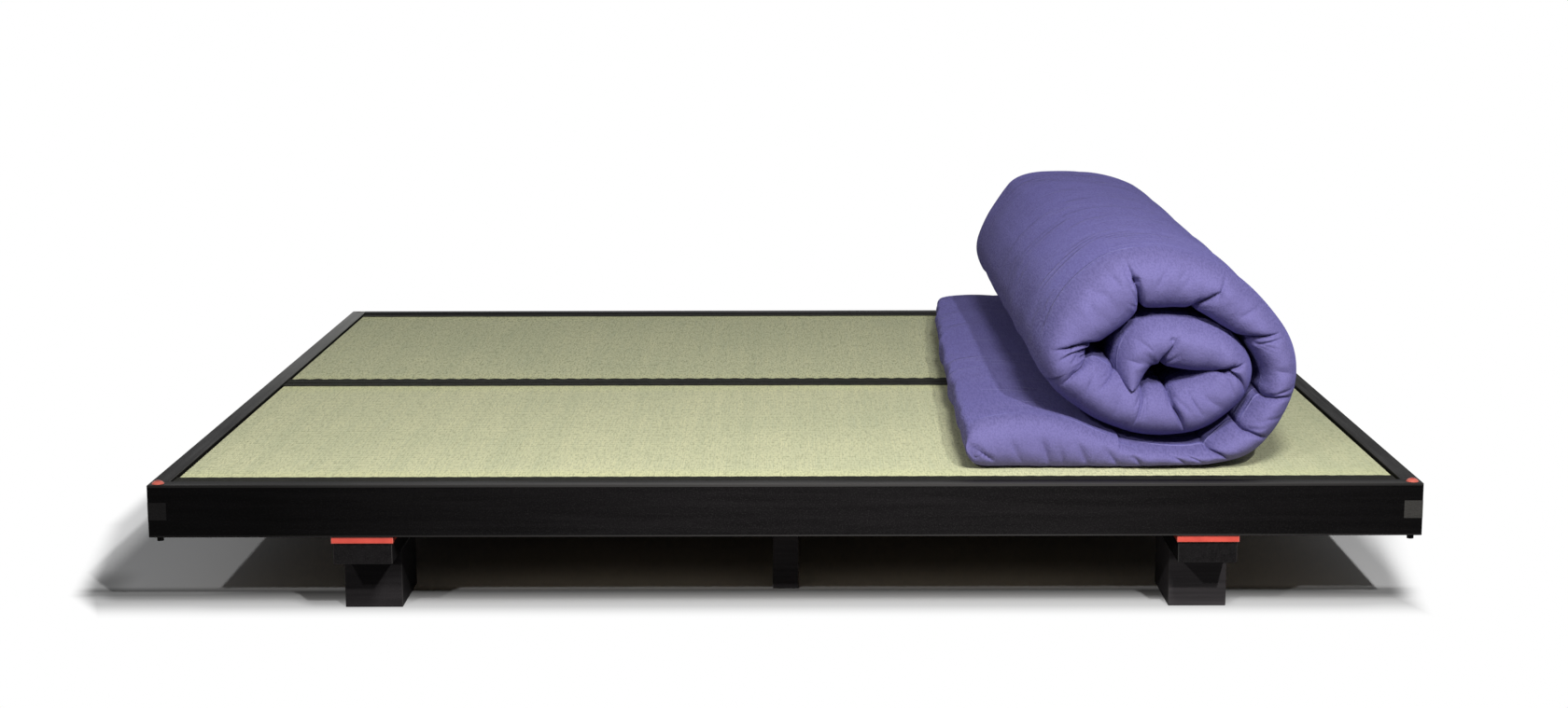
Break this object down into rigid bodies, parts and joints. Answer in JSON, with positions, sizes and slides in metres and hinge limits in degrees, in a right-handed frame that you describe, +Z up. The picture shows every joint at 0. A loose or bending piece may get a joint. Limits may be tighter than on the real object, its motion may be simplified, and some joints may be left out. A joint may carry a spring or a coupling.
{
  "type": "tatami platform bed",
  "caption": "Low platform bed with pinned bridle corners, block feet, two rush mats with cloth borders and a rolled cotton mattress.",
  "frame": {"origin": "on the floor, under the middle of the bed", "axes": "+X along the bed's length towards the rolled mattress, +Y from the front rail to the rear rail, +Z up"},
  "size_m": [2.066, 1.866, 0.5944],
  "materials": {
    "black_lacquer": "satin",
    "red_lacquer": "satin",
    "zinc_steel": "satin",
    "bare_pine": "matte",
    "cotton_webbing": "matte",
    "pressed_straw": "matte",
    "woven_rush": "matte",
    "border_cloth": "matte",
    "mattress_cotton": "matte"
  },
  "bodies": {
    "frame": {"front_rail": "black_lacquer", "rear_rail": "black_lacquer", "left_rail": "black_lacquer", "right_rail": "black_lacquer", "front_ledge": "bare_pine", "rear_ledge": "bare_pine", "ledge_screw_set": "zinc_steel", "left_cross_beam": "black_lacquer", "right_cross_beam": "black_lacquer", "foot_front_left": "black_lacquer", "foot_front_right": "black_lacquer", "foot_rear_left": "black_lacquer", "foot_rear_right": "black_lacquer", "foot_screw_set": "zinc_steel", "pad_front_left": "red_lacquer", "pad_front_right": "red_lacquer", "pad_rear_left": "red_lacquer", "pad_rear_right": "red_lacquer", "rail_screw_set": "zinc_steel", "centre_beam": "black_lacquer", "centre_leg_front": "black_lacquer", "centre_leg_rear": "black_lacquer", "leg_screw_set": "zinc_steel", "seam_bearer": "bare_pine", "bearer_screw_set": "zinc_steel", "front_slats": "bare_pine", "rear_slats": "bare_pine", "front_slat_straps": "cotton_webbing", "rear_slat_straps": "cotton_webbing"},
    "front_mat": {"front_mat_core": "pressed_straw", "front_mat_cover": "woven_rush", "front_mat_outer_border": "border_cloth", "front_mat_inner_border": "border_cloth"},
    "rear_mat": {"rear_mat_core": "pressed_straw", "rear_mat_cover": "woven_rush", "rear_mat_outer_border": "border_cloth", "rear_mat_inner_border": "border_cloth"},
    "mattress": {"futon": "mattress_cotton"},
    "corner_pin_front_left": {"pin_front_left": "black_lacquer", "pin_head_front_left": "red_lacquer"},
    "corner_pin_front_right": {"pin_front_right": "black_lacquer", "pin_head_front_right": "red_lacquer"},
    "corner_pin_rear_left": {"pin_rear_left": "black_lacquer"},
    "corner_pin_rear_right": {"pin_rear_right": "black_lacquer"}
  },
  "joints": [
    {"name": "rear_mat_lift", "type": "slide", "parent": "frame", "child": "rear_mat", "axis": [0, 0, 1], "range_m": [0, 0.3]},
    {"name": "front_mat_lift", "type": "slide", "parent": "frame", "child": "front_mat", "axis": [0, 0, 1], "range_m": [0, 0.3]},
    {"name": "mattress_lift", "type": "slide", "parent": "rear_mat", "child": "mattress", "axis": [0, 0, 1], "range_m": [0, 0.4]},
    {"name": "pull_pin_front_left", "type": "slide", "parent": "frame", "child": "corner_pin_front_left", "axis": [0, 0, 1], "range_m": [0, 0.12]},
    {"name": "pull_pin_front_right", "type": "slide", "parent": "frame", "child": "corner_pin_front_right", "axis": [0, 0, 1], "range_m": [0, 0.12]},
    {"name": "pull_pin_rear_left", "type": "slide", "parent": "frame", "child": "corner_pin_rear_left", "axis": [0, 0, 1], "range_m": [0, 0.12]},
    {"name": "pull_pin_rear_right", "type": "slide", "parent": "frame", "child": "corner_pin_rear_right", "axis": [0, 0, 1], "range_m": [0, 0.12]}
  ],
  "couplings": [
    {"joint": "front_mat_lift", "follows": "rear_mat_lift", "ratio": 1}
  ]
}
